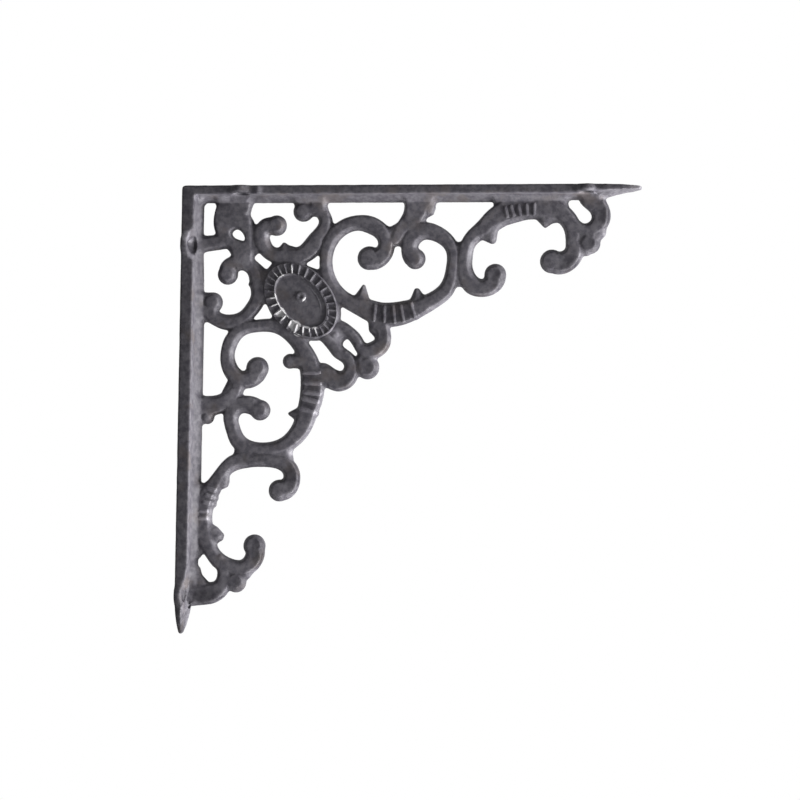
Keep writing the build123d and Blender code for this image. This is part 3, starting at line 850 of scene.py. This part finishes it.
def painted_light_and_wear_at(point, normal, relief):
    """Painted light and shade at a point, with patches of bare iron on the edges: that of its part,
    and of its ovals.
    """
    over_shelf = -point.z - SHELF.face(point.x)
    over_wall = point.x - WALL.face(-point.z)
    in_plate = min(over_shelf, over_wall) < -PLATE_INSIDE
    # Front edges, and plate faces turned to the front, get painted shade and the edge ovals
    if abs(point.y) > PLATE_EDGE or (in_plate and normal.y < -EDGE_FACING):
        painted_light_and_wear = EDGE_PAINTED_SHADE if over_shelf < over_wall else WALL_EDGE_PAINTED_SHADE
        return painted_light_and_wear + (tint_at(point, EDGE_SHADE_HIGHLIGHTS_AND_WEAR) if point.y < 0 else 0.0)
    painted_light_and_wear = 0.0
    # Painted light on the shelf's rail, fading towards its tip; the wall's rail darker towards its
    # lower end
    if over_shelf < over_wall and over_shelf < SHELF.rail_height(point.x) + FACE_NOISE:
        painted_light_and_wear = SHELF_RAIL_PAINTED_LIGHT - SHELF_RAIL_FADE * point.x / SHELF_ARM
    elif over_wall < over_shelf and over_wall < WALL.rail_height(-point.z) + FACE_NOISE:
        painted_light_and_wear = WALL_END_DARK * smooth_step((-point.z - WALL_ARM / 2) / WALL_END_RUN)
    # Painted light on the insides of bends, and painted shade in the troughs between ridges
    elif relief and point.z < -SHELF_PLATE - WEB_START and point.x > WALL_PLATE + WEB_START:
        painted_light_and_wear = INWARD_PAINTED_LIGHT * relief.inward(point.x, point.z) + trough_shade_at(point)
    # Ovals of painted light and shade
    if -PLATE_EDGE < point.y < TINT_REACH:
        painted_light_and_wear += tint_at(point, LIGHT_AND_SHADE_OVALS)
    return painted_light_and_wear


def mark_wear_and_shading(piece, proud, relief=None, light=0.0):
    """Stores wear, and painted light and shade, on a piece's points. Wear is most where they stand
    proud of a height.

    The last argument, light, is a painted highlight added on the wall's side of the corner's
    diagonal.
    """
    wear, painted_light_and_wear = [], []
    for vert in piece.data.vertices:
        point = vert.co
        worn = wear_at(point)
        if worn > 0:
            rise = smooth_step((abs(point.y) - proud) / WEAR_RISE)
            worn *= HOLLOW_WEAR + (1 - HOLLOW_WEAR) * rise
        wear.append(worn)
        # A painted highlight, where one is given, on the wall's side of the corner's diagonal
        wall_side = smooth_step((-point.z - point.x) / RIB_HIGHLIGHT_RUN)
        painted_light_and_wear.append(painted_light_and_wear_at(point, vert.normal, relief) + light * wall_side)
    for name, values in (("wear", wear), ("painted_light_and_wear", painted_light_and_wear)):
        layer = piece.data.attributes.new(name, "FLOAT", "POINT")
        layer.data.foreach_set("value", values)


def rib_mesh(relief, centre, lean, half, side):
    """One ridge across a strand that follows its rounded face: points and faces."""
    along_steps, across_steps = RIB_STEPS
    direction = Vector((sin(lean), 0, cos(lean)))
    across = Vector((cos(lean), 0, -sin(lean)))
    verts = []
    for i in range(along_steps + 1):
        s = 2 * i / along_steps - 1
        fade = sqrt(max(0.0, 1 - abs(s) ** 4))
        for j in range(across_steps + 1):
            t = 2 * j / across_steps - 1
            aside = t * RIB_WIDTH * (0.5 + 0.5 * fade)
            place = centre + direction * (s * half) + across * aside
            face = relief.height(place.x, place.z)
            lift = RIB_PROUD * (1 - t * t) ** RIB_BEND * fade - RIB_SINK
            verts.append(Vector((place.x, side * (face + lift), place.z)))
    top = len(verts)
    verts += [Vector((v.x, side * RIB_ROOT, v.z)) for v in verts]
    row = across_steps + 1
    faces = []
    for i in range(along_steps):
        for j in range(across_steps):
            a = i * row + j
            quad = (a, a + 1, a + row + 1, a + row)
            faces.append(quad)
            faces.append(tuple(v + top for v in reversed(quad)))
    border = list(range(row))
    border += [i * row + across_steps for i in range(1, along_steps + 1)]
    border += [along_steps * row + j for j in range(across_steps - 1, -1, -1)]
    border += [i * row for i in range(along_steps - 1, 0, -1)]
    for a, b in zip(border, border[1:] + border[:1]):
        faces.append((b, a, a + top, b + top))
    return verts, faces


def make_ribs(relief):
    """All the ridges of the four ribbed scrolls, on both faces, as one object."""
    verts, faces = [], []
    for half, places in RIB_GROUPS:
        for x, drop, lean in places:
            for side in (-1, 1):
                centre = Vector((x * MM, 0, -drop * MM))
                points, quads = rib_mesh(relief, centre, radians(lean), half * MM, side)
                start = len(verts)
                verts += points
                faces += [tuple(v + start for v in quad) for quad in quads]
    piece = mesh_piece("ribs", verts, faces)
    face_outward(piece)
    return piece


class Nodes:
    """Small helper for building the node tree of a material or a world."""

    def __init__(self, owner):
        owner.use_nodes = True
        self.owner = owner
        self.tree = owner.node_tree
        self.tree.nodes.clear()

    def feed(self, socket, value):
        """Links an input to an output, or sets its value."""
        if isinstance(value, bpy.types.NodeSocket):
            self.tree.links.new(value, socket)
        else:
            socket.default_value = value

    def add(self, kind, inputs=None, **settings):
        """New node with its settings made and its inputs fed."""
        node = self.tree.nodes.new(kind)
        for key, value in settings.items():
            setattr(node, key, value)
        for key, value in (inputs or {}).items():
            self.feed(node.inputs[key], value)
        return node

    def mix(self, share, a, b):
        """Colour between a and b."""
        node = self.add("ShaderNodeMix", {0: share}, data_type="RGBA")
        self.feed(node.inputs[6], a)
        self.feed(node.inputs[7], b)
        return node.outputs[2]

    def math(self, operation, a, b):
        """Result of an operation on two values."""
        return self.add("ShaderNodeMath", {0: a, 1: b}, operation=operation).outputs[0]

    def ramp(self, value, low, high):
        """0 below low, 1 above high, and an even turn between them."""
        node = self.add("ShaderNodeMapRange", {"Value": value, "From Min": low, "From Max": high})
        node.interpolation_type = "SMOOTHSTEP"
        return node.outputs[0]


def iron_material():
    """Antique black iron: mottled satin skin, greyer where it is rubbed, and bare in places, with
    the painted light and shade stored on the points.
    """
    n = Nodes(bpy.data.materials.new("antique_iron"))
    place = n.add("ShaderNodeTexCoord").outputs["Object"]

    def texture(scale, detail, rough=0.55):
        return n.add(
            "ShaderNodeTexNoise",
            {"Vector": place, "Scale": scale, "Detail": detail, "Roughness": rough},
        ).outputs["Fac"]

    blotch = texture(90, 3)
    mottle = texture(420, 5, 0.62)
    speck = texture(1700, 3)
    edge = n.ramp(n.add("ShaderNodeNewGeometry").outputs["Pointiness"], 0.51, 0.60)
    dark = (0.064, 0.060, 0.072, 1)
    mid = (0.127, 0.121, 0.135, 1)
    brown = (0.098, 0.083, 0.079, 1)
    rubbed = (0.30, 0.29, 0.305, 1)
    metal = (0.56, 0.55, 0.56, 1)
    colour = n.mix(n.ramp(mottle, 0.32, 0.68), dark, mid)
    colour = n.mix(n.math("MULTIPLY", n.ramp(blotch, 0.52, 0.72), 0.6), colour, brown)
    wear = n.math("MULTIPLY", edge, n.ramp(mottle, 0.36, 0.62))
    colour = n.mix(n.math("MULTIPLY", wear, 0.55), colour, rubbed)
    # Painted light and shade stored on the points scale the colour, and the gloss with it
    painted_light_and_wear = n.add("ShaderNodeAttribute", attribute_name="painted_light_and_wear").outputs["Fac"]
    painted_light_and_wear = n.math("MAXIMUM", n.math("ADD", painted_light_and_wear, 1.0), LEAST_TONE)
    shaded_colour = n.add("ShaderNodeVectorMath", {0: colour, "Scale": painted_light_and_wear}, operation="SCALE")
    shine = n.math("MULTIPLY", n.math("POWER", painted_light_and_wear, 2.0), SHINE)
    bare = n.add("ShaderNodeAttribute", attribute_name="wear").outputs["Fac"]
    ragged = n.math("ADD", n.math("SUBTRACT", speck, 0.5), n.math("SUBTRACT", mottle, 0.5))
    ragged = n.math("ADD", bare, n.math("MULTIPLY", ragged, 0.9))
    bare = n.math("MULTIPLY", n.ramp(ragged, 0.2, 0.6), n.ramp(bare, 0.02, 0.2))
    colour = n.mix(bare, shaded_colour.outputs[0], metal)
    rough = n.add(
        "ShaderNodeMapRange",
        {"Value": speck, "From Min": 0.3, "From Max": 0.7, "To Min": 0.46, "To Max": 0.62},
    ).outputs[0]
    coarse = n.add("ShaderNodeBump", {"Height": mottle, "Strength": 0.35, "Distance": 0.12 * MM})
    fine = n.add(
        "ShaderNodeBump",
        {"Height": speck, "Strength": 0.30, "Distance": 0.05 * MM, "Normal": coarse.outputs[0]},
    )
    shader = n.add(
        "ShaderNodeBsdfPrincipled",
        {
            "Base Color": colour, "Roughness": rough, "Metallic": 0.0,
            "Specular IOR Level": shine, "Normal": fine.outputs[0],
        },
    )
    n.add("ShaderNodeOutputMaterial", {"Surface": shader.outputs[0]})
    return n.owner


def area_lamp(name, place, target, size, power):
    """Soft square lamp that looks at a target."""
    data = bpy.data.lights.new(name, "AREA")
    data.shape = "SQUARE"
    data.size = size
    data.energy = power
    lamp = bpy.data.objects.new(name, data)
    lamp.location = place
    lamp.rotation_euler = (Vector(target) - Vector(place)).to_track_quat("-Z", "Y").to_euler()
    bpy.context.scene.collection.objects.link(lamp)


def make_stage(centre):
    """Pale floor well below the part, white surroundings for the lens, and soft lamps."""
    drop = 0.45
    half = 0.6
    turns = ((-1, -1), (1, -1), (1, 1), (-1, 1))
    corners = [(centre.x + sx * half, sy * half, -drop) for sx, sy in turns]
    floor = mesh_piece("floor", corners, [(0, 1, 2, 3)])
    n = Nodes(bpy.data.materials.new("pale_floor"))
    paper = n.add("ShaderNodeBsdfDiffuse", {"Color": (0.86, 0.86, 0.86, 1)})
    n.add("ShaderNodeOutputMaterial", {"Surface": paper.outputs[0]})
    floor.data.materials.append(n.owner)

    world = bpy.data.worlds.new("studio")
    bpy.context.scene.world = world
    n = Nodes(world)
    rays = n.add("ShaderNodeLightPath").outputs
    seen = n.add("ShaderNodeBackground", {"Color": (1, 1, 1, 1)})
    room = n.add("ShaderNodeBackground", {"Color": (0.95, 0.97, 1, 1), "Strength": 0.11})
    shiny = n.math("MAXIMUM", rays["Is Glossy Ray"], rays["Is Transmission Ray"])
    clear = n.math("MAXIMUM", rays["Is Camera Ray"], shiny)
    either = n.add("ShaderNodeMixShader", {0: clear, 1: room.outputs[0], 2: seen.outputs[0]})
    n.add("ShaderNodeOutputWorld", {"Surface": either.outputs[0]})

    area_lamp("key", (1.35, -0.09, -0.25), centre, size=0.7, power=60)
    area_lamp("low", (0.25, -0.06, -0.43), centre, size=0.35, power=2.4)
    area_lamp("fill", (0.2, -1.3, 0.9), centre, size=1.0, power=1)


def make_camera(target, azimuth, elevation, roll, distance, view_width):
    """Long lens at the given angles about the target. Roll turns what it sees clockwise."""
    data = bpy.data.cameras.new("camera")
    data.sensor_width = 36.0
    data.lens = data.sensor_width * distance / view_width
    data.clip_end = 40.0
    camera = bpy.data.objects.new("camera", data)
    bpy.context.scene.collection.objects.link(camera)
    level = cos(elevation)
    back = Vector((sin(azimuth) * level, -cos(azimuth) * level, sin(elevation)))
    camera.location = target + back * distance
    aim = (-back).to_track_quat("-Z", "Y").to_matrix().to_4x4()
    camera.matrix_world = Matrix.Translation(camera.location) @ aim @ Matrix.Rotation(roll, 4, "Z")
    bpy.context.scene.camera = camera


make_camera(
    target=Vector((97.6 * MM, 0, -94.05 * MM)), azimuth=radians(12), elevation=radians(-5),
    roll=radians(1.0), distance=6.0, view_width=0.3509,
)
make_stage(Vector((SHELF_ARM / 2, 0, -WALL_ARM / 2)))

casting = filleted_copy(IRON_NODE)
relief = Relief(casting)
make_casting(casting, relief)
medallion = make_medallion()
ribs = make_ribs(relief)
# Wear, and painted light and shade, on each piece; the ribs also get a painted highlight
mark_wear_and_shading(medallion, MEDAL_WEAR)
mark_wear_and_shading(casting, IRON_WEAR, relief)
mark_wear_and_shading(ribs, IRON_WEAR, light=RIB_PAINTED_HIGHLIGHT)

iron = iron_material()
for piece in (casting, medallion, ribs):
    piece.data.materials.clear()
    piece.data.materials.append(iron)
    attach(piece, "root")
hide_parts(IRON_NODE)
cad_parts[IRON_NODE].data.materials.clear()
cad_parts[IRON_NODE].data.materials.append(iron)

bpy.context.scene.view_settings.view_transform = "Standard"
